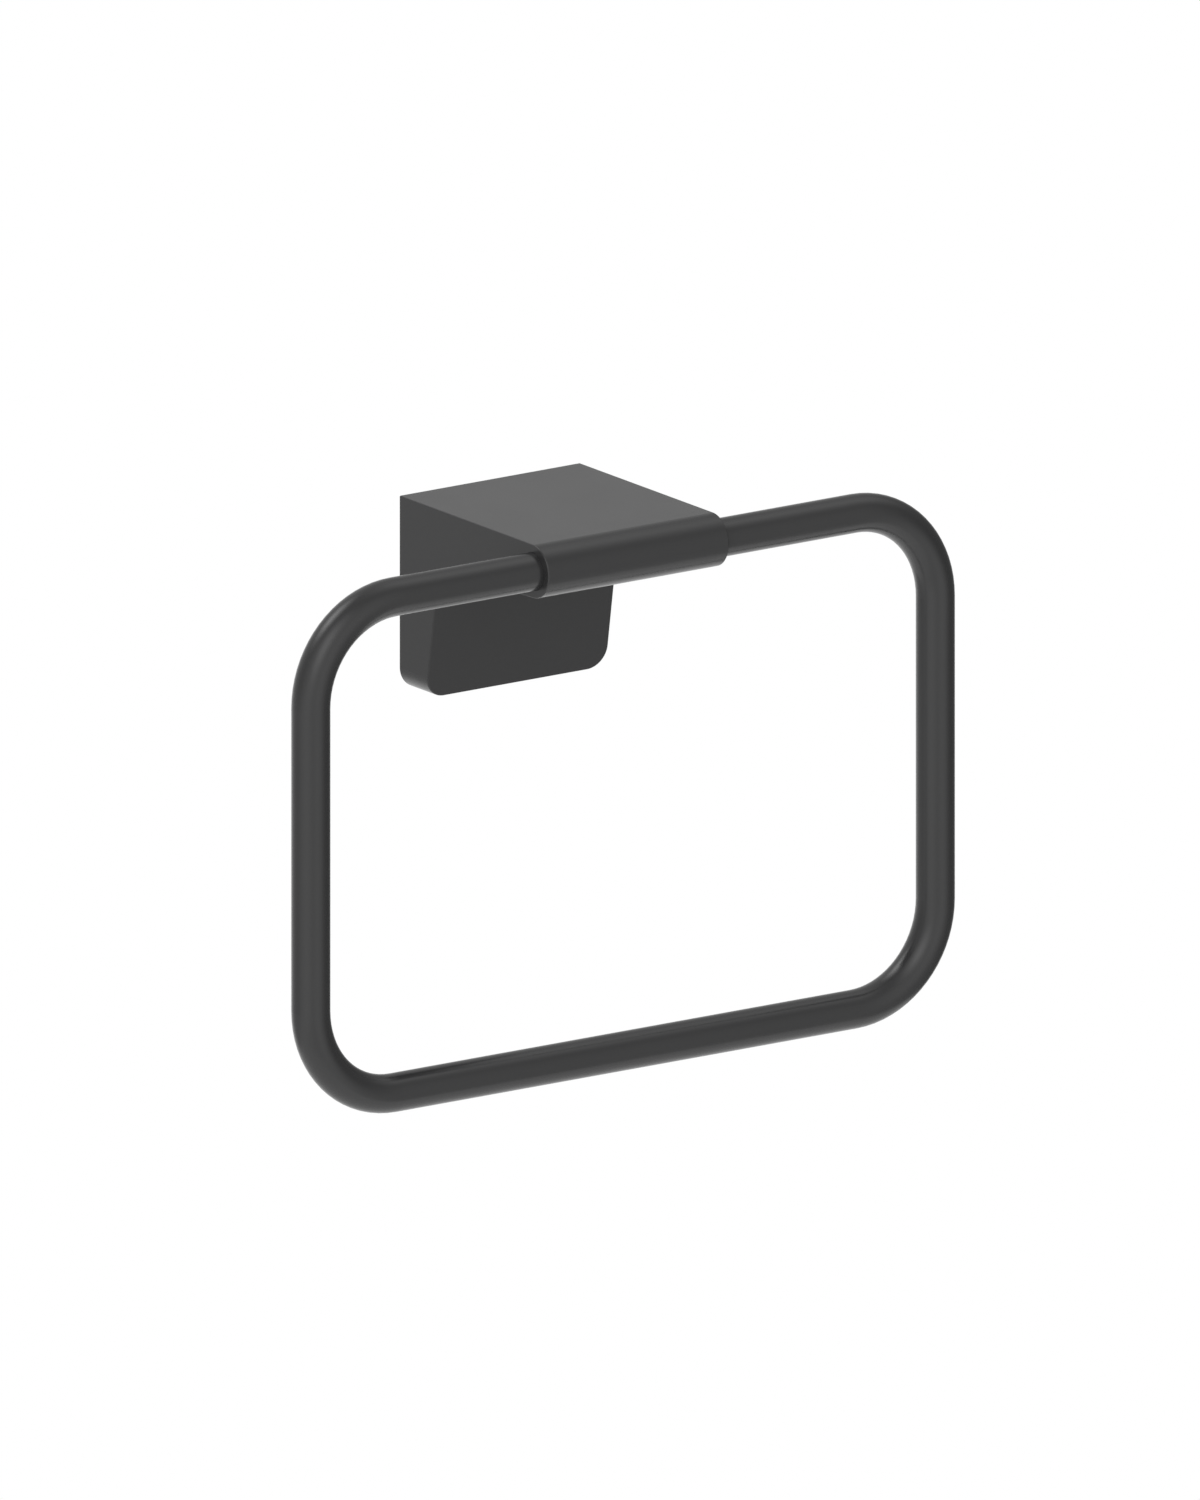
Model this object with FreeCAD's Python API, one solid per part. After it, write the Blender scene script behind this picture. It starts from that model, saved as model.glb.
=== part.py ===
import FreeCAD, Part
import math
import os

# Towel ring on a one-piece wall holder. A bent round bar hangs in a plane parallel to the wall,
# and its top run passes through the round sleeve along the front of the holder's arm.
# Sizes are in millimetres. The wall is the plane Y = 0, the room is on the -Y side and +Z is up.
# The origin lies on the wall, midway between the two wall screw holes.

# Ring: a round bar bent to a rounded rectangle, measured along the middle of the bar
bar_diameter = 10.0
ring_width = 194.0
ring_height = 130.6
ring_bend_radius = 25.5
ring_end_gap = 0.6

# Holder: arm, sleeve and foot, cast in one piece and cored out from the back
holder_width = 56.1
holder_height = 51.0
ring_projection = 59.0
sleeve_diameter = 14.0
foot_thickness = 11.4
foot_slope = math.radians(9.1)
arm_slope = math.radians(3.0)
arm_root_radius = 12.0
foot_corner_radius = 5.8
edge_radius = 0.3
cast_wall = 3.0
core_corner_radius = 1.5
rib_count = 2
rib_thickness = 2.0
rib_setback = 15.0

# Wall bracket: steel strip with a flange bent out above and below, hidden in the holder's foot
bracket_thickness = 2.0
bracket_bend_radius = 1.0
bracket_corner_radius = 4.0
upper_flange_setback = 6.0
lower_flange_setback = 12.0
flange_root_radius = 1.0
wall_hole_diameter = 5.0
wall_hole_spacing = 30.0

# Grub screws: one locks the holder to the bracket from below, two lock the ring in the sleeve
holder_screw_diameter = 5.0
holder_screw_setback = 5.2
holder_screw_tip_diameter = 2.5
holder_screw_bite = 0.8
holder_screw_key = 2.5
boss_diameter = 8.4
boss_height = 2.2
ring_screw_diameter = 4.0
ring_screw_length = 4.0
ring_screw_spacing = 24.0
ring_screw_key = 2.0
screw_recess = 0.4
key_depth = 1.6

# Clearances, each measured on one side
bore_clearance = 0.05
thread_clearance = 0.05
bracket_clearance = 0.1
bracket_side_clearance = 1.85
flange_clearance = 0.6
boss_clearance = 0.4
tip_clearance = 0.2
overrun = 1.0

# Two points closer than this are one, and faces that turn by more than this meet in a sharp edge
same_place = 1e-6
sharp_turn = math.radians(15)

# Places that several pieces share
bar_radius = bar_diameter / 2
sleeve_radius = sleeve_diameter / 2
holder_top = holder_height / 2
holder_bottom = -holder_height / 2
side_x = holder_width / 2
bar_axis_z = holder_top - sleeve_radius
core_top = holder_top - cast_wall
core_bottom = holder_bottom + cast_wall
bore_radius = bar_radius + bore_clearance
core_depth = ring_projection - bore_radius - cast_wall
bracket_top = core_top - bracket_clearance
bracket_bottom = core_bottom + boss_height + boss_clearance
bracket_width = holder_width - 2 * cast_wall - 2 * bracket_side_clearance
flange_hole_radius = holder_screw_tip_diameter / 2 + holder_screw_bite + thread_clearance
holder_screw_hole_radius = holder_screw_diameter / 2 + thread_clearance
ring_screw_hole_radius = ring_screw_diameter / 2 + thread_clearance
ring_screw_top = bar_axis_z - sleeve_radius + screw_recess + ring_screw_length

X_AXIS = FreeCAD.Vector(1, 0, 0)
OUT_OF_WALL = FreeCAD.Vector(0, -1, 0)
UP = FreeCAD.Vector(0, 0, 1)


def side_point(depth, height, x=0.0):
    """A point at a depth out from the wall and a height above the origin."""
    return FreeCAD.Vector(x, -depth, height)


def corner_arc(before, corner, after, radius):
    """Start, middle and end of the arc that rounds a corner between two straight runs."""
    back = (before - corner).normalize()
    ahead = (after - corner).normalize()
    half_angle = back.getAngle(ahead) / 2
    reach = radius / math.tan(half_angle)
    inward = (back + ahead).normalize()
    centre = corner + inward * (radius / math.sin(half_angle))
    return corner + back * reach, centre - inward * radius, corner + ahead * reach


def rounded_path(corners, closed=True):
    """Wire of straight runs and tangent arcs through a list of (point, corner radius)."""
    count = len(corners)
    stops = []
    for index, (point, radius) in enumerate(corners):
        if radius > 0:
            before = corners[index - 1][0]
            after = corners[(index + 1) % count][0]
            stops.append(corner_arc(before, point, after, radius))
        else:
            stops.append((point, None, point))
    edges = []
    for index, (start, middle, end) in enumerate(stops):
        if middle is not None:
            edges.append(Part.Arc(start, middle, end).toShape())
        if index + 1 < count or closed:
            next_start = stops[(index + 1) % count][0]
            if end.distanceToPoint(next_start) > same_place:
                edges.append(Part.LineSegment(end, next_start).toShape())
    return Part.Wire(edges)


def prism(corners, direction, length):
    """Solid made by moving a rounded outline along a direction."""
    return Part.Face(rounded_path(corners)).extrude(direction * length)


def rod(radius, length, base, direction):
    """Round bar from its base point along a direction."""
    return Part.makeCylinder(radius, length, base, direction)


def is_sharp(solid, edge):
    """Whether the two faces that meet at an edge turn away from each other there."""
    middle = edge.valueAt((edge.FirstParameter + edge.LastParameter) / 2)
    normals = []
    for face in solid.ancestorsOfType(edge, Part.Face):
        u, v = face.Surface.parameter(middle)
        normals.append(face.normalAt(u, v))
    return len(normals) == 2 and normals[0].getAngle(normals[1]) > sharp_turn


def lower_side_edges(solid):
    """The two straight edges along the bottom of the foot's sides, square to the wall."""
    chosen = []
    for edge in solid.Edges:
        box = edge.BoundBox
        if box.XLength + box.ZLength < same_place and abs(box.ZMax - holder_bottom) < same_place:
            chosen.append(edge)
    return chosen


def foot_depth(height, inset=0.0):
    """Depth of the foot's sloping front at a height, or of a face parallel to it further in."""
    return foot_thickness + (height - holder_bottom) * math.tan(foot_slope) - inset / math.cos(foot_slope)


def arm_height(depth, inset=0.0):
    """Height of the arm's underside at a depth, or of a face parallel to it further in."""
    tangent_height = bar_axis_z - (sleeve_radius - inset) / math.cos(arm_slope)
    return tangent_height + (depth - ring_projection) * math.tan(arm_slope)


def arm_root(inset=0.0):
    """Where the arm's underside and the foot's front would meet if their corner were sharp."""
    slopes = math.tan(foot_slope) * math.tan(arm_slope)
    start = foot_depth(arm_height(0.0, inset), inset)
    depth = start / (1 - slopes)
    return side_point(depth, arm_height(depth, inset), -side_x + inset)


def holder_blank():
    """Outside of the casting: the side profile across the whole width, with its edges rounded."""
    front = ring_projection + sleeve_radius
    profile = [
        (side_point(0, holder_top, -side_x), 0),
        (side_point(front, holder_top, -side_x), sleeve_radius),
        (side_point(front, arm_height(front), -side_x), sleeve_radius),
        (arm_root(), arm_root_radius),
        (side_point(foot_thickness, holder_bottom, -side_x), 0),
        (side_point(0, holder_bottom, -side_x), 0),
    ]
    blank = prism(profile, X_AXIS, holder_width)
    blank = blank.makeFillet(foot_corner_radius, lower_side_edges(blank))
    rims = [edge for edge in blank.Edges if edge.BoundBox.YMin < -same_place and is_sharp(blank, edge)]
    return blank.makeFillet(edge_radius, rims)


def core_outline():
    """The hollow's outline seen from the wall, with its lower corners in step with the foot's."""
    inner_x = side_x - cast_wall
    lower_radius = max(foot_corner_radius - cast_wall, core_corner_radius)
    return [
        (side_point(-overrun, core_top, -inner_x), core_corner_radius),
        (side_point(-overrun, core_top, inner_x), core_corner_radius),
        (side_point(-overrun, core_bottom, inner_x), lower_radius),
        (side_point(-overrun, core_bottom, -inner_x), lower_radius),
    ]


def holder_core():
    """The hollow that opens at the wall and reaches forward into the arm, up to the sleeve."""
    inner_x = -side_x + cast_wall
    profile = [
        (side_point(-overrun, core_top, inner_x), 0),
        (side_point(core_depth, core_top, inner_x), core_corner_radius),
        (side_point(core_depth, arm_height(core_depth, cast_wall), inner_x), core_corner_radius),
        (arm_root(cast_wall), arm_root_radius + cast_wall),
        (side_point(foot_depth(core_bottom, cast_wall), core_bottom, inner_x), core_corner_radius),
        (side_point(-overrun, core_bottom, inner_x), 0),
    ]
    core = prism(profile, X_AXIS, holder_width - 2 * cast_wall)
    core = core.common(prism(core_outline(), OUT_OF_WALL, core_depth + 2 * overrun))
    boss = rod(boss_diameter / 2, boss_height, side_point(holder_screw_setback, core_bottom), UP)
    return core.cut([boss] + holder_ribs())


def holder_ribs():
    """Upright ribs that stiffen the cored arm, evenly spaced across it."""
    core_width = holder_width - 2 * cast_wall
    ribs = []
    for number in range(1, rib_count + 1):
        middle_x = -core_width / 2 + core_width * number / (rib_count + 1)
        rib = Part.makeBox(rib_thickness, core_depth - rib_setback + overrun, holder_height)
        rib.translate(FreeCAD.Vector(middle_x - rib_thickness / 2, -core_depth - overrun, holder_bottom))
        ribs.append(rib)
    return ribs


def ring_screw_places():
    """Where the tips of the two ring screws lie, inside the bar and below its axis."""
    half = ring_screw_spacing / 2
    return [side_point(ring_projection, ring_screw_top, x) for x in (-half, half)]


def make_holder():
    """Casting with its bore for the ring and the threaded holes of its three grub screws."""
    bore_mouth = side_point(ring_projection, bar_axis_z, -side_x - overrun)
    bore = rod(bore_radius, holder_width + 2 * overrun, bore_mouth, X_AXIS)
    foot_mouth = side_point(holder_screw_setback, holder_bottom - overrun)
    foot_hole = rod(holder_screw_hole_radius, cast_wall + boss_height + 2 * overrun, foot_mouth, UP)
    cuts = [holder_core(), bore, foot_hole]
    for place in ring_screw_places():
        cuts.append(rod(ring_screw_hole_radius, sleeve_radius + overrun, place, -UP))
    return holder_blank().cut(cuts)


def ring_path():
    """Middle line of the bar, from one end inside the sleeve round to the other."""
    half_width = ring_width / 2
    foot_z = bar_axis_z - ring_height
    corners = [
        (side_point(ring_projection, bar_axis_z, ring_end_gap / 2), 0),
        (side_point(ring_projection, bar_axis_z, half_width), ring_bend_radius),
        (side_point(ring_projection, foot_z, half_width), ring_bend_radius),
        (side_point(ring_projection, foot_z, -half_width), ring_bend_radius),
        (side_point(ring_projection, bar_axis_z, -half_width), ring_bend_radius),
        (side_point(ring_projection, bar_axis_z, -ring_end_gap / 2), 0),
    ]
    return rounded_path(corners, closed=False)


def make_ring():
    """Bent bar, with a blind hole below each of its ends for the tip of a ring screw."""
    end = side_point(ring_projection, bar_axis_z, ring_end_gap / 2)
    rim = Part.Wire(Part.makeCircle(bar_radius, end, X_AXIS))
    bar = Part.Solid(ring_path().makePipeShell([rim], True, False))
    seats = []
    for place in ring_screw_places():
        seats.append(rod(ring_screw_hole_radius, bar_radius, place + UP * tip_clearance, -UP))
    return bar.cut(seats)


def hex_socket(key, depth, base):
    """Six-sided recess of a given width across its flats, going up from its base."""
    corner_radius = key / math.sqrt(3)
    points = []
    for step in range(6):
        angle = math.radians(60 * step)
        points.append((base + FreeCAD.Vector(math.cos(angle), math.sin(angle), 0) * corner_radius, 0))
    return prism(points, UP, depth)


def grub_screw(diameter, length, key, base):
    """Headless screw with a flat tip, standing on its base, with a key socket below."""
    return rod(diameter / 2, length, base, UP).cut(hex_socket(key, key_depth, base))


def make_ring_screws():
    """The two grub screws that stand below the bar, one for each end of the ring."""
    screws = []
    for place in ring_screw_places():
        base = place - UP * ring_screw_length
        screws.append(grub_screw(ring_screw_diameter, ring_screw_length, ring_screw_key, base))
    return Part.makeCompound(screws)


def make_holder_screw():
    """Grub screw in the foot, whose cone sits in the hole of the bracket's lower flange."""
    base = side_point(holder_screw_setback, holder_bottom + screw_recess)
    radius = holder_screw_diameter / 2
    tip_radius = holder_screw_tip_diameter / 2
    cone_height = radius - tip_radius
    cone_base = side_point(holder_screw_setback, bracket_bottom + holder_screw_bite - cone_height)
    cone = Part.makeCone(radius, tip_radius, cone_height, cone_base, UP)
    shank = grub_screw(holder_screw_diameter, cone_base.z - base.z, holder_screw_key, base)
    return shank.fuse(cone).removeSplitter()


def make_wall_bracket():
    """Bent strip: the side section across the full width, trimmed to its outline seen from the front."""
    outer_bend = bracket_bend_radius + bracket_thickness
    flange_reach = foot_depth(bracket_bottom, cast_wall) - flange_clearance
    left = -bracket_width / 2
    section = [
        (side_point(0, bracket_top, left), outer_bend),
        (side_point(flange_reach, bracket_top, left), 0),
        (side_point(flange_reach, bracket_top - bracket_thickness, left), 0),
        (side_point(bracket_thickness, bracket_top - bracket_thickness, left), bracket_bend_radius),
        (side_point(bracket_thickness, bracket_bottom + bracket_thickness, left), bracket_bend_radius),
        (side_point(flange_reach, bracket_bottom + bracket_thickness, left), 0),
        (side_point(flange_reach, bracket_bottom, left), 0),
        (side_point(0, bracket_bottom, left), outer_bend),
    ]
    half = bracket_width / 2
    upper = half - upper_flange_setback
    lower = half - lower_flange_setback
    shoulder_top = bracket_top - outer_bend
    shoulder_bottom = bracket_bottom + outer_bend
    outline = [
        (side_point(0, bracket_top, -upper), 0),
        (side_point(0, bracket_top, upper), 0),
        (side_point(0, shoulder_top, upper), flange_root_radius),
        (side_point(0, shoulder_top, half), bracket_corner_radius),
        (side_point(0, shoulder_bottom, half), bracket_corner_radius),
        (side_point(0, shoulder_bottom, lower), flange_root_radius),
        (side_point(0, bracket_bottom, lower), 0),
        (side_point(0, bracket_bottom, -lower), 0),
        (side_point(0, shoulder_bottom, -lower), flange_root_radius),
        (side_point(0, shoulder_bottom, -half), bracket_corner_radius),
        (side_point(0, shoulder_top, -half), bracket_corner_radius),
        (side_point(0, shoulder_top, -upper), flange_root_radius),
    ]
    strip = prism(section, X_AXIS, bracket_width).common(prism(outline, OUT_OF_WALL, flange_reach))
    holes = []
    drill_length = bracket_thickness + 2 * overrun
    for x in (-wall_hole_spacing / 2, wall_hole_spacing / 2):
        holes.append(rod(wall_hole_diameter / 2, drill_length, side_point(-overrun, 0, x), OUT_OF_WALL))
    below_flange = side_point(holder_screw_setback, bracket_bottom - overrun)
    holes.append(rod(flange_hole_radius, drill_length, below_flange, UP))
    return strip.cut(holes)


pieces = {
    "holder": make_holder,
    "ring": make_ring,
    "ring_screws": make_ring_screws,
    "wall_bracket": make_wall_bracket,
    "holder_screw": make_holder_screw,
}

os.makedirs("parts", exist_ok=True)
for name, make in pieces.items():
    shape = make()
    shape.exportStep("parts/" + name + ".step")
    print(name, len(shape.Solids), "solid", round(shape.Volume), "mm3", shape.isValid())
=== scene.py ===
import math

import bpy
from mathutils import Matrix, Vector


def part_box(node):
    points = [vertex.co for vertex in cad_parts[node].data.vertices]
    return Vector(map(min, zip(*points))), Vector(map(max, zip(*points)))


# Finishes and studio for the towel ring. Every shape comes from the frame's own solids, so this
# script only fills their material slots and sets up the floor, the light and the camera.
# Lengths are in metres, the wall is the plane Y = 0 and the front of the part faces -Y.

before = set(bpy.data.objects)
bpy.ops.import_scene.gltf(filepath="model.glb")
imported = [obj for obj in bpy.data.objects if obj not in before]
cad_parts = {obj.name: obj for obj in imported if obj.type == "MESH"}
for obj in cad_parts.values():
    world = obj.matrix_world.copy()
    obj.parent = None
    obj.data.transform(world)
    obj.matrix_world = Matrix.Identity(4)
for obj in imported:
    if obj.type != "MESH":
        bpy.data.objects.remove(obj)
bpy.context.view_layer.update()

MM = 0.001

# The casting's shape, which the finish of its hollow follows. The arm's underside is given at
# the height where it would meet the wall.
WALL_OF_CASTING = 3.0 * MM
FOOT_SLOPE = math.radians(9.1)
FOOT_THICKNESS = 11.4 * MM
ARM_UNDERSIDE = 8.4 * MM
ARM_SLOPE = math.radians(3.0)
SLEEVE_RADIUS = 7.0 * MM
BORE_RADIUS = 5.05 * MM

# Camera: parallel view from the left and a little above
CAMERA_AZIMUTH = -35.0
CAMERA_ELEVATION = 15.0
CAMERA_DISTANCE = 1.0
PIXELS_PER_METRE = 3930.0
PHOTO_WIDTH = 1200
PHOTO_HEIGHT = 1500
ORIGIN_PIXEL = (490.07, 576.19)

# Floor. It is seen a little less than white in its middle, where it shows the part's shadow,
# and fades to white between two shares of its radius.
FLOOR_HEIGHT = -0.55
FLOOR_RADIUS = 0.65
FLOOR_SIDES = 96
FLOOR_COLOUR = 0.92
FLOOR_ROUGHNESS = 0.9
FLOOR_SPECULAR = 0.1
FLOOR_SEEN_WHITE = 0.92
FLOOR_FADE = (0.5, 0.95)

# Soft lights round the part: bearing (0 is the front, 90 the right), height above the horizon,
# how far each reaches, how soft its edge is (all in degrees), and strength. The right is left dim.
SOFT_LIGHTS = {
    "overhead": (14, 73, 59, 28, 0.25),
    "rear_left_softbox": (218, 54, 11, 19, 4.1),
    "left_front_softbox": (320, 34, 17, 22, 1.6),
    "right_softbox": (94, 57, 16, 24, 0.8),
    "left": (289, 12, 36, 28, 0.57),
    "front": (13, 12, 29, 22, 0.47),
    "front_low": (335, -47, 59, 27, 0.62),
    "left_low": (247, -34, 22, 23, 0.46),
    "backdrop": (184, 8, 48, 25, 0.45),
}
EVEN_LIGHT = 0.18

# The white backdrop that gloss shows beside the floor: bearing, height, reach and softness as above
BACKDROP = (160, -30, 34, 14)


# Small helpers for node trees

# Sockets of a Mix node that mixes colours
MIX_FACTOR, MIX_FIRST, MIX_SECOND, MIX_COLOUR = 0, 6, 7, 2


def put(tree, socket, value):
    """Links an output socket to an input, or sets the input to a plain value."""
    if isinstance(value, bpy.types.NodeSocket):
        tree.links.new(value, socket)
    else:
        socket.default_value = value


def add_node(tree, kind, inputs=None, **settings):
    """Adds a node with its settings and its inputs, which are plain values or output sockets."""
    node = tree.nodes.new(kind)
    for name, value in settings.items():
        setattr(node, name, value)
    for name, value in (inputs or {}).items():
        put(tree, node.inputs[name], value)
    return node


def maths(tree, operation, first, second=0.0, clamp=False):
    """One step of arithmetic on two values or sockets."""
    node = add_node(
        tree, "ShaderNodeMath", {0: first, 1: second}, operation=operation, use_clamp=clamp
    )
    return node.outputs[0]


def remap(tree, value, low, high, to_low=0.0, to_high=1.0):
    """A value that goes smoothly from to_low at low to to_high at high."""
    inputs = {
        "Value": value, "From Min": low, "From Max": high, "To Min": to_low, "To Max": to_high,
    }
    node = add_node(tree, "ShaderNodeMapRange", inputs, interpolation_type="SMOOTHSTEP")
    return node.outputs["Result"]


def blend(tree, amount, first, second):
    """Colour that goes from the first to the second with the amount."""
    node = add_node(tree, "ShaderNodeMix", data_type="RGBA")
    put(tree, node.inputs[MIX_FACTOR], amount)
    put(tree, node.inputs[MIX_FIRST], first)
    put(tree, node.inputs[MIX_SECOND], second)
    return node.outputs[MIX_COLOUR]


def bump(tree, height, distance, normal=None):
    """Normal that follows a height, on top of another normal where one is given."""
    inputs = {"Height": height, "Distance": distance}
    if normal is not None:
        inputs["Normal"] = normal
    return add_node(tree, "ShaderNodeBump", inputs).outputs["Normal"]


def on_object(tree):
    """Coordinates in metres that stay with the piece."""
    return add_node(tree, "ShaderNodeTexCoord").outputs["Object"]


def grey(level):
    """Opaque grey."""
    return (level, level, level, 1.0)


def new_group(name, inputs, outputs):
    """Empty shader node group with named sockets. Returns the group, its input and output nodes."""
    group = bpy.data.node_groups.new(name, "ShaderNodeTree")
    for socket_name, kind, default in inputs:
        socket = group.interface.new_socket(socket_name, in_out="INPUT", socket_type=kind)
        if default is not None:
            socket.default_value = default
    for socket_name, kind in outputs:
        group.interface.new_socket(socket_name, in_out="OUTPUT", socket_type=kind)
    return group, group.nodes.new("NodeGroupInput"), group.nodes.new("NodeGroupOutput")


def use_group(tree, group, **inputs):
    """Places a group in a material, or in another group, with its own values."""
    node = add_node(tree, "ShaderNodeGroup", node_tree=group)
    for name, value in inputs.items():
        put(tree, node.inputs[name], value)
    return node.outputs


def new_material(name):
    """Material with nothing but its Principled BSDF and output."""
    material = bpy.data.materials.new(name)
    material.use_nodes = True
    tree = material.node_tree
    tree.nodes.clear()
    shader = tree.nodes.new("ShaderNodeBsdfPrincipled")
    output = tree.nodes.new("ShaderNodeOutputMaterial")
    tree.links.new(shader.outputs["BSDF"], output.inputs["Surface"])
    return material, tree, shader


def feed(tree, shader, **sockets):
    """Sets or links the shader's sockets, whose names are written with _ for a space."""
    for name, value in sockets.items():
        put(tree, shader.inputs[name.replace("_", " ")], value)


# Surface effects that several finishes share

# The values between which a cloudy noise mostly lies
CLOUD_LOW = 0.3
CLOUD_HIGH = 0.7

# Rubbed edges: how far the surface turns within the reach where the rub starts and where it is
# full, as 1 less the cosine; then the scale and the range of its patches, and the least of it
TURN_STARTS = 0.004
TURN_FULL = 0.08
PATCH_SCALE = 420.0
PATCH_LOW = 0.35
PATCH_HIGH = 0.7
LEAST_RUB = 0.25
BEVEL_SAMPLES = 6

# Satin black powder coat
COAT_BLACK = (0.026, 0.026, 0.0265, 1.0)
COAT_WORN = (0.044, 0.044, 0.045, 1.0)
COAT_IOR = 1.5
COAT_SMOOTHEST = 0.21
COAT_ROUGHEST = 0.24
COAT_CLOUD_SIZE = 24 * MM
PEEL_SIZE = 0.9 * MM
PEEL_HEIGHT = 0.006 * MM
PEBBLE_SIZE = 0.22 * MM
PEBBLE_HEIGHT = 0.004 * MM
PEBBLE_TINT = 0.35
WORN_TINT = 0.6
WORN_SMOOTHER = 0.05


def grain_group():
    """Fine pebbled surface of a sprayed or cast skin."""
    group, given, result = new_group(
        "fine_grain",
        [("Vector", "NodeSocketVector", None), ("Size", "NodeSocketFloat", 0.0004)],
        [("Height", "NodeSocketFloat")],
    )
    scale = maths(group, "DIVIDE", 1.0, given.outputs["Size"])
    pebbles = add_node(
        group, "ShaderNodeTexNoise",
        {"Vector": given.outputs["Vector"], "Scale": scale, "Detail": 3.0, "Roughness": 0.55},
    )
    group.links.new(pebbles.outputs[0], result.inputs["Height"])
    return group


def mottle_group():
    """Slow, cloudy variation from 0 to 1 over a surface."""
    group, given, result = new_group(
        "mottle",
        [("Vector", "NodeSocketVector", None), ("Size", "NodeSocketFloat", 0.02)],
        [("Amount", "NodeSocketFloat")],
    )
    scale = maths(group, "DIVIDE", 1.0, given.outputs["Size"])
    clouds = add_node(
        group, "ShaderNodeTexNoise",
        {"Vector": given.outputs["Vector"], "Scale": scale, "Detail": 4.0, "Roughness": 0.6},
    )
    amount = remap(group, clouds.outputs[0], CLOUD_LOW, CLOUD_HIGH)
    group.links.new(amount, result.inputs["Amount"])
    return group


def edge_group():
    """Mask of the outer edges, where a finish is thinner and handled more."""
    group, given, result = new_group(
        "edge_rub",
        [("Vector", "NodeSocketVector", None), ("Reach", "NodeSocketFloat", 0.0006)],
        [("Mask", "NodeSocketFloat")],
    )
    rounded = add_node(
        group, "ShaderNodeBevel", {"Radius": given.outputs["Reach"]}, samples=BEVEL_SAMPLES
    )
    surface = add_node(group, "ShaderNodeNewGeometry")
    closeness = add_node(
        group, "ShaderNodeVectorMath",
        {0: rounded.outputs["Normal"], 1: surface.outputs["Normal"]}, operation="DOT_PRODUCT",
    ).outputs["Value"]
    turned = remap(group, maths(group, "SUBTRACT", 1.0, closeness), TURN_STARTS, TURN_FULL)
    uneven = add_node(
        group, "ShaderNodeTexNoise",
        {"Vector": given.outputs["Vector"], "Scale": PATCH_SCALE, "Detail": 4.0, "Roughness": 0.65},
    ).outputs[0]
    patchy = remap(group, uneven, PATCH_LOW, PATCH_HIGH, LEAST_RUB, 1.0)
    mask = maths(group, "MULTIPLY", turned, patchy, clamp=True)
    group.links.new(mask, result.inputs["Mask"])
    return group


def lines_group():
    """Fine parallel lines of rolling or turning. Stretch says how close they are on each axis."""
    group, given, result = new_group(
        "fine_lines",
        [("Vector", "NodeSocketVector", None), ("Stretch", "NodeSocketVector", (1.0, 1.0, 1.0))],
        [("Height", "NodeSocketFloat")],
    )
    stretched = add_node(
        group, "ShaderNodeVectorMath",
        {0: given.outputs["Vector"], 1: given.outputs["Stretch"]}, operation="MULTIPLY",
    ).outputs["Vector"]
    lines = add_node(
        group, "ShaderNodeTexNoise",
        {"Vector": stretched, "Scale": 1.0, "Detail": 5.0, "Roughness": 0.7},
    )
    group.links.new(lines.outputs[0], result.inputs["Height"])
    return group


FINE_GRAIN = grain_group()
MOTTLE = mottle_group()
EDGE_RUB = edge_group()
FINE_LINES = lines_group()


def coat_group():
    """Satin black coat: fine orange peel, slightly uneven sheen, thinner along the edges."""
    group, given, result = new_group(
        "powder_coat",
        [("Vector", "NodeSocketVector", None), ("Reach", "NodeSocketFloat", 0.0005)],
        [
            ("Color", "NodeSocketColor"),
            ("Roughness", "NodeSocketFloat"),
            ("Normal", "NodeSocketVector"),
        ],
    )
    place = given.outputs["Vector"]
    peel = use_group(group, FINE_GRAIN, Vector=place, Size=PEEL_SIZE)["Height"]
    pebbles = use_group(group, FINE_GRAIN, Vector=place, Size=PEBBLE_SIZE)["Height"]
    clouds = use_group(group, MOTTLE, Vector=place, Size=COAT_CLOUD_SIZE)["Amount"]
    rub = use_group(group, EDGE_RUB, Vector=place, Reach=given.outputs["Reach"])["Mask"]
    tint = maths(group, "MULTIPLY", pebbles, PEBBLE_TINT)
    colour = blend(group, tint, COAT_BLACK, COAT_WORN)
    colour = blend(group, maths(group, "MULTIPLY", rub, WORN_TINT), colour, COAT_WORN)
    sheen = remap(group, clouds, 0.0, 1.0, COAT_SMOOTHEST, COAT_ROUGHEST)
    sheen = maths(group, "SUBTRACT", sheen, maths(group, "MULTIPLY", rub, WORN_SMOOTHER))
    normal = bump(group, pebbles, PEBBLE_HEIGHT, normal=bump(group, peel, PEEL_HEIGHT))
    for name, value in (("Color", colour), ("Roughness", sheen), ("Normal", normal)):
        group.links.new(value, result.inputs[name])
    return group


POWDER_COAT = coat_group()


# Finishes

RING_EDGE_REACH = 0.5 * MM
HOLDER_EDGE_REACH = 0.8 * MM

# Cast skin in the holder's hollow, and the shares of the wall's depth between which it takes over
CAST_DARK = (0.050, 0.050, 0.051, 1.0)
CAST_LIGHT = (0.085, 0.086, 0.088, 1.0)
CAST_CLOUD_SIZE = 3 * MM
HOLLOW_STARTS = 0.85
HOLLOW_FULL = 0.98

# Zinc plating on rolled sheet, whose lines run along X
ZINC_DULL = (0.55, 0.56, 0.575, 1.0)
ZINC_BRIGHT = (0.61, 0.62, 0.63, 1.0)
ZINC_LINE = (0.44, 0.45, 0.46, 1.0)
ZINC_EDGE = (0.40, 0.41, 0.42, 1.0)
ZINC_SMOOTHEST = 0.34
ZINC_ROUGHEST = 0.44
ZINC_EDGE_ROUGHER = 0.15
ZINC_CLOUD_SIZE = 4 * MM
ZINC_EDGE_REACH = 0.4 * MM
ROLLING_STRETCH = (40.0, 2500.0, 2500.0)
ROLLING_HEIGHT = 0.012 * MM
LINE_FULL = 0.35
LINE_NONE = 0.6
LINE_TINT = 0.35

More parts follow.
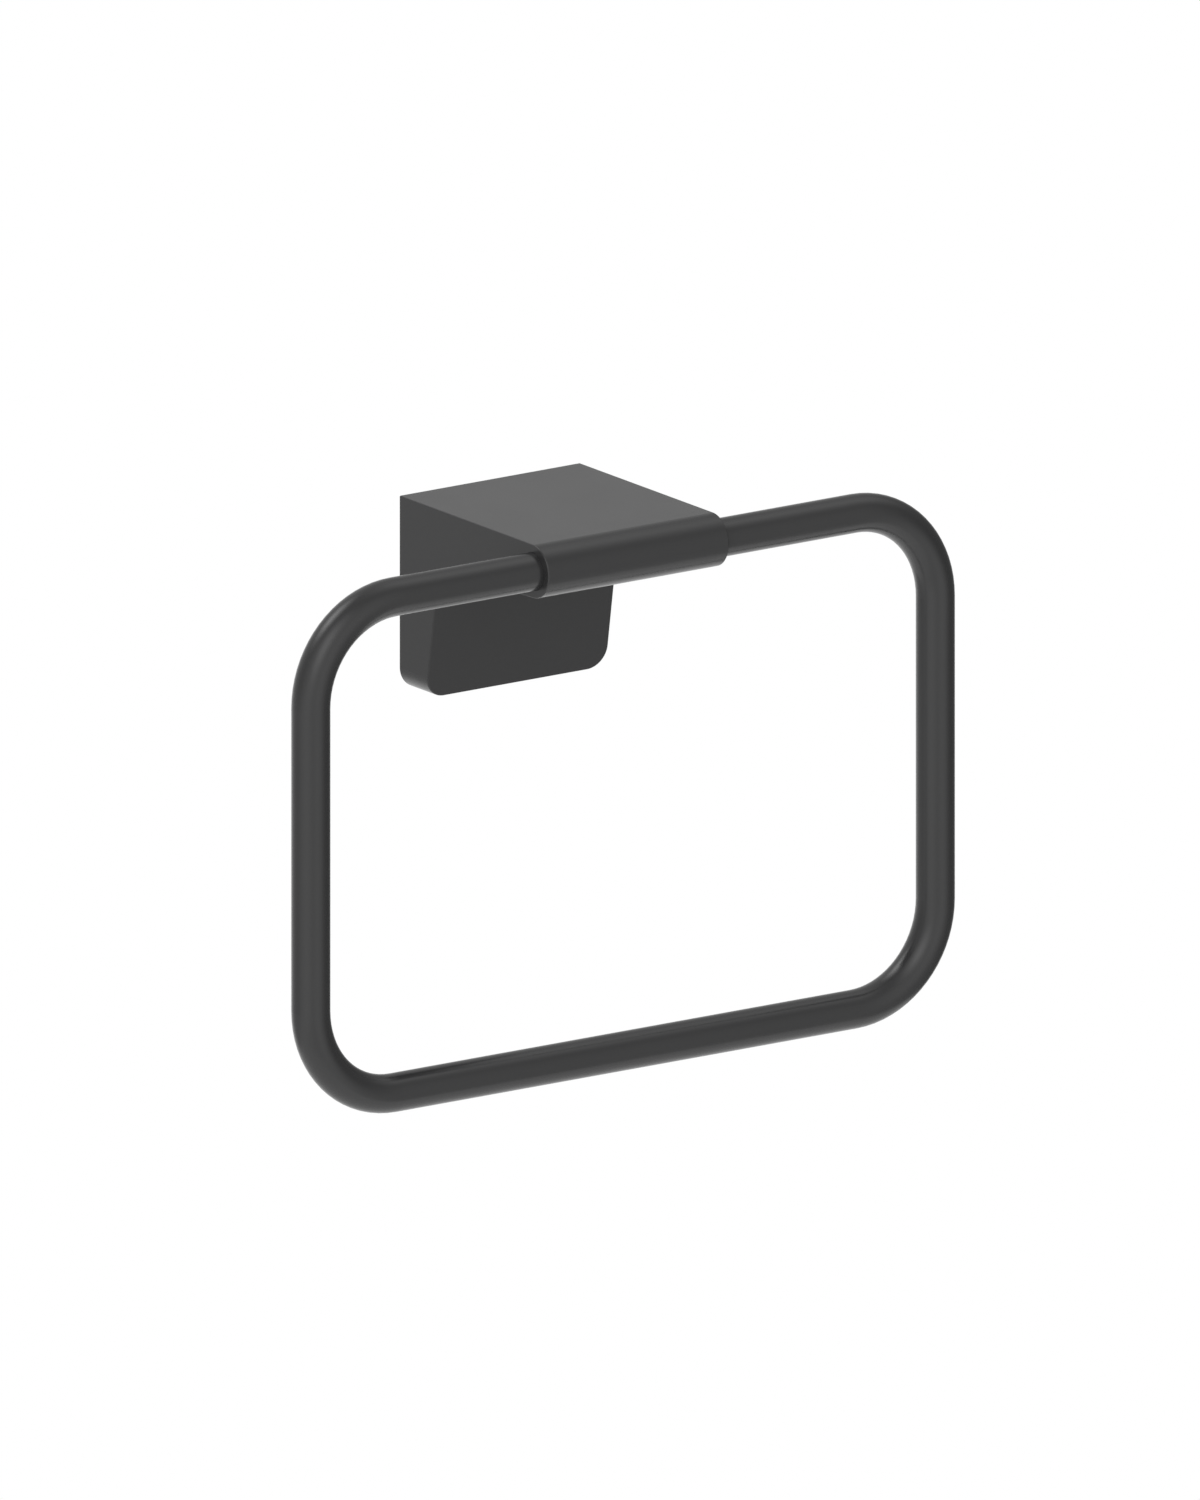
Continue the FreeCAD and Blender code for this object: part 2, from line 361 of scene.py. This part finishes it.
# Blackened steel, with lines turned round Z
STEEL_DARK = (0.085, 0.085, 0.09, 1.0)
STEEL_LIGHT = (0.13, 0.13, 0.135, 1.0)
STEEL_EDGE = (0.30, 0.30, 0.31, 1.0)
STEEL_SMOOTHEST = 0.34
STEEL_ROUGHEST = 0.46
STEEL_CLOUD_SIZE = 1.5 * MM
STEEL_EDGE_REACH = 0.25 * MM
TURNING_STRETCH = (300.0, 300.0, 9000.0)
TURNING_HEIGHT = 0.006 * MM


def inside_of_holder(tree, place):
    """1 in the hollow at the holder's back, 0 on its outside and on its rim at the wall."""
    lowest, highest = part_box("holder")
    parts = add_node(tree, "ShaderNodeSeparateXYZ", {"Vector": place}).outputs

    def deep(distance):
        """1 where a place lies nearly a wall's thickness or more below the surface."""
        return remap(tree, distance, WALL_OF_CASTING * HOLLOW_STARTS, WALL_OF_CASTING * HOLLOW_FULL)

    def sloping(start, slope, along):
        """Place of a plane that starts at a value and leans by a slope along a direction."""
        return maths(tree, "ADD", maths(tree, "MULTIPLY", along, math.tan(slope)), start)

    depth = maths(tree, "MULTIPLY", parts["Y"], -1.0)
    from_side = maths(tree, "SUBTRACT", highest.x, maths(tree, "ABSOLUTE", parts["X"]))
    from_top = maths(tree, "SUBTRACT", highest.z, parts["Z"])
    from_bottom = maths(tree, "SUBTRACT", parts["Z"], lowest.z)
    from_bore = maths(tree, "SUBTRACT", parts["Y"], lowest.y + SLEEVE_RADIUS + BORE_RADIUS)
    foot_front = sloping(FOOT_THICKNESS, FOOT_SLOPE, from_bottom)
    underside = sloping(ARM_UNDERSIDE, ARM_SLOPE, depth)
    from_foot = maths(tree, "SUBTRACT", foot_front, depth)
    from_underside = maths(tree, "SUBTRACT", parts["Z"], underside)
    mask = maths(tree, "MAXIMUM", deep(from_foot), deep(from_underside))
    for distance in (from_side, from_top, from_bottom, from_bore):
        mask = maths(tree, "MULTIPLY", mask, deep(distance))
    return mask


def ring_finish():
    """Coat on the bent bar."""
    material, tree, shader = new_material("ring_black_coat")
    coat = use_group(tree, POWDER_COAT, Vector=on_object(tree), Reach=RING_EDGE_REACH)
    feed(tree, shader, Base_Color=coat["Color"], Roughness=coat["Roughness"], Normal=coat["Normal"])
    feed(tree, shader, IOR=COAT_IOR)
    return material


def holder_finish():
    """Coat on the casting. Inside the hollow it is only a thin dusting over the cast skin."""
    material, tree, shader = new_material("holder_black_coat")
    place = on_object(tree)
    coat = use_group(tree, POWDER_COAT, Vector=place, Reach=HOLDER_EDGE_REACH)
    skin = use_group(tree, MOTTLE, Vector=place, Size=CAST_CLOUD_SIZE)["Amount"]
    cast = blend(tree, skin, CAST_DARK, CAST_LIGHT)
    colour = blend(tree, inside_of_holder(tree, place), coat["Color"], cast)
    feed(tree, shader, Base_Color=colour, Roughness=coat["Roughness"], Normal=coat["Normal"])
    feed(tree, shader, IOR=COAT_IOR)
    return material


def bracket_finish():
    """Bright zinc plating over rolled sheet: fine lines, cloudy sheen, dull sheared edges."""
    material, tree, shader = new_material("bracket_zinc_plate")
    place = on_object(tree)
    lines = use_group(tree, FINE_LINES, Vector=place, Stretch=ROLLING_STRETCH)["Height"]
    clouds = use_group(tree, MOTTLE, Vector=place, Size=ZINC_CLOUD_SIZE)["Amount"]
    rub = use_group(tree, EDGE_RUB, Vector=place, Reach=ZINC_EDGE_REACH)["Mask"]
    line_tint = remap(tree, lines, LINE_FULL, LINE_NONE, LINE_TINT, 0.0)
    colour = blend(tree, clouds, ZINC_DULL, ZINC_BRIGHT)
    colour = blend(tree, line_tint, colour, ZINC_LINE)
    colour = blend(tree, rub, colour, ZINC_EDGE)
    sheen = remap(tree, clouds, 0.0, 1.0, ZINC_SMOOTHEST, ZINC_ROUGHEST)
    sheen = maths(tree, "ADD", sheen, maths(tree, "MULTIPLY", rub, ZINC_EDGE_ROUGHER))
    normal = bump(tree, lines, ROLLING_HEIGHT)
    feed(tree, shader, Base_Color=colour, Roughness=sheen, Normal=normal, Metallic=1.0)
    return material


def screw_finish():
    """Blackened steel of the grub screws, with fine turning lines and brighter rubbed edges."""
    material, tree, shader = new_material("screw_blackened_steel")
    place = on_object(tree)
    lines = use_group(tree, FINE_LINES, Vector=place, Stretch=TURNING_STRETCH)["Height"]
    clouds = use_group(tree, MOTTLE, Vector=place, Size=STEEL_CLOUD_SIZE)["Amount"]
    rub = use_group(tree, EDGE_RUB, Vector=place, Reach=STEEL_EDGE_REACH)["Mask"]
    colour = blend(tree, clouds, STEEL_DARK, STEEL_LIGHT)
    colour = blend(tree, rub, colour, STEEL_EDGE)
    sheen = remap(tree, clouds, 0.0, 1.0, STEEL_SMOOTHEST, STEEL_ROUGHEST)
    normal = bump(tree, lines, TURNING_HEIGHT)
    feed(tree, shader, Base_Color=colour, Roughness=sheen, Normal=normal, Metallic=1.0)
    return material


def dress(node, material):
    """Gives a CAD node its finish."""
    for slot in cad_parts[node].material_slots:
        slot.material = material


dress("ring", ring_finish())
dress("holder", holder_finish())
dress("wall_bracket", bracket_finish())
screw_steel = screw_finish()
dress("ring_screws", screw_steel)
dress("holder_screw", screw_steel)


# Studio


def seen_directly(tree, in_gloss=1.0):
    """1 for what is seen directly or through glass, in_gloss for gloss, 0 for light on the part."""
    path = add_node(tree, "ShaderNodeLightPath").outputs
    seen = maths(tree, "MAXIMUM", path["Is Camera Ray"], path["Is Transmission Ray"])
    return maths(tree, "MAXIMUM", seen, maths(tree, "MULTIPLY", path["Is Glossy Ray"], in_gloss))


def make_floor():
    """Plain pale floor far below the ring, seen as white with a faint shadow and no edge."""
    bpy.ops.mesh.primitive_circle_add(
        vertices=FLOOR_SIDES, radius=FLOOR_RADIUS, fill_type="NGON", location=(0, 0, FLOOR_HEIGHT)
    )
    floor = bpy.context.object
    floor.name = "studio_floor"
    material, tree, shader = new_material("pale_floor")
    feed(tree, shader, Base_Color=grey(FLOOR_COLOUR), Roughness=FLOOR_ROUGHNESS)
    feed(tree, shader, Specular_IOR_Level=FLOOR_SPECULAR)
    from_middle = add_node(
        tree, "ShaderNodeVectorMath", {0: on_object(tree)}, operation="LENGTH"
    ).outputs["Value"]
    fade_starts, fade_ends = (FLOOR_RADIUS * share for share in FLOOR_FADE)
    whiteness = remap(tree, from_middle, fade_starts, fade_ends, FLOOR_SEEN_WHITE, 1.0)
    seen = maths(tree, "MULTIPLY", seen_directly(tree), whiteness)
    white = add_node(tree, "ShaderNodeEmission", {"Color": grey(1.0), "Strength": 1.0})
    mixed = add_node(
        tree, "ShaderNodeMixShader",
        {0: seen, 1: shader.outputs["BSDF"], 2: white.outputs["Emission"]},
    )
    output = next(node for node in tree.nodes if node.type == "OUTPUT_MATERIAL")
    tree.links.new(mixed.outputs[0], output.inputs["Surface"])
    material.cycles.emission_sampling = "NONE"
    floor.data.materials.append(material)


def towards(azimuth, elevation):
    """Unit vector from the object. Azimuth 0 is the front (-Y) and 90 the right (+X)."""
    across = math.radians(azimuth)
    above = math.radians(elevation)
    return Vector((
        math.sin(across) * math.cos(above),
        -math.cos(across) * math.cos(above),
        math.sin(above),
    ))


def round_patch(tree, direction, azimuth, elevation, reach, softness, strength=1.0):
    """Soft-edged round patch of the surroundings: the strength inside it, 0 outside."""
    facing = add_node(
        tree, "ShaderNodeVectorMath",
        {0: direction, 1: towards(azimuth, elevation)}, operation="DOT_PRODUCT",
    ).outputs["Value"]
    angle = maths(tree, "ARCCOSINE", facing)
    outer = math.radians(reach + softness)
    inner = math.radians(reach - softness)
    return remap(tree, angle, outer, inner, 0.0, strength)


def make_world():
    """White to the camera all round, and in gloss where the backdrop stands behind and below the
    part. The rest is soft light, strongest behind and at the left."""
    world = bpy.data.worlds.new("studio")
    world.use_nodes = True
    bpy.context.scene.world = world
    tree = world.node_tree
    tree.nodes.clear()
    direction = add_node(tree, "ShaderNodeTexCoord").outputs["Generated"]
    light = EVEN_LIGHT
    for soft_light in SOFT_LIGHTS.values():
        light = maths(tree, "ADD", round_patch(tree, direction, *soft_light), light)
    seen = seen_directly(tree, in_gloss=round_patch(tree, direction, *BACKDROP))
    strength = add_node(tree, "ShaderNodeMix", {"Factor": seen, "A": light, "B": 1.0}).outputs[0]
    background = add_node(
        tree, "ShaderNodeBackground", {"Color": grey(1.0), "Strength": strength}
    )
    output = tree.nodes.new("ShaderNodeOutputWorld")
    tree.links.new(background.outputs[0], output.inputs["Surface"])


def make_camera():
    """Parallel view whose middle lies as far from the part's origin as the photo's middle does."""
    back = towards(CAMERA_AZIMUTH, CAMERA_ELEVATION)
    right = towards(CAMERA_AZIMUTH + 90, 0)
    up = back.cross(right)
    across = (PHOTO_WIDTH / 2 - ORIGIN_PIXEL[0]) / PIXELS_PER_METRE
    down = (PHOTO_HEIGHT / 2 - ORIGIN_PIXEL[1]) / PIXELS_PER_METRE
    data = bpy.data.cameras.new("photo_camera")
    data.type = "ORTHO"
    data.ortho_scale = PHOTO_HEIGHT / PIXELS_PER_METRE
    camera = bpy.data.objects.new("photo_camera", data)
    camera.location = right * across - up * down + back * CAMERA_DISTANCE
    camera.rotation_mode = "QUATERNION"
    camera.rotation_quaternion = (-back).to_track_quat("-Z", "Y")
    bpy.context.scene.collection.objects.link(camera)
    bpy.context.scene.camera = camera


make_floor()
make_world()
make_camera()
bpy.context.scene.view_settings.view_transform = "Standard"
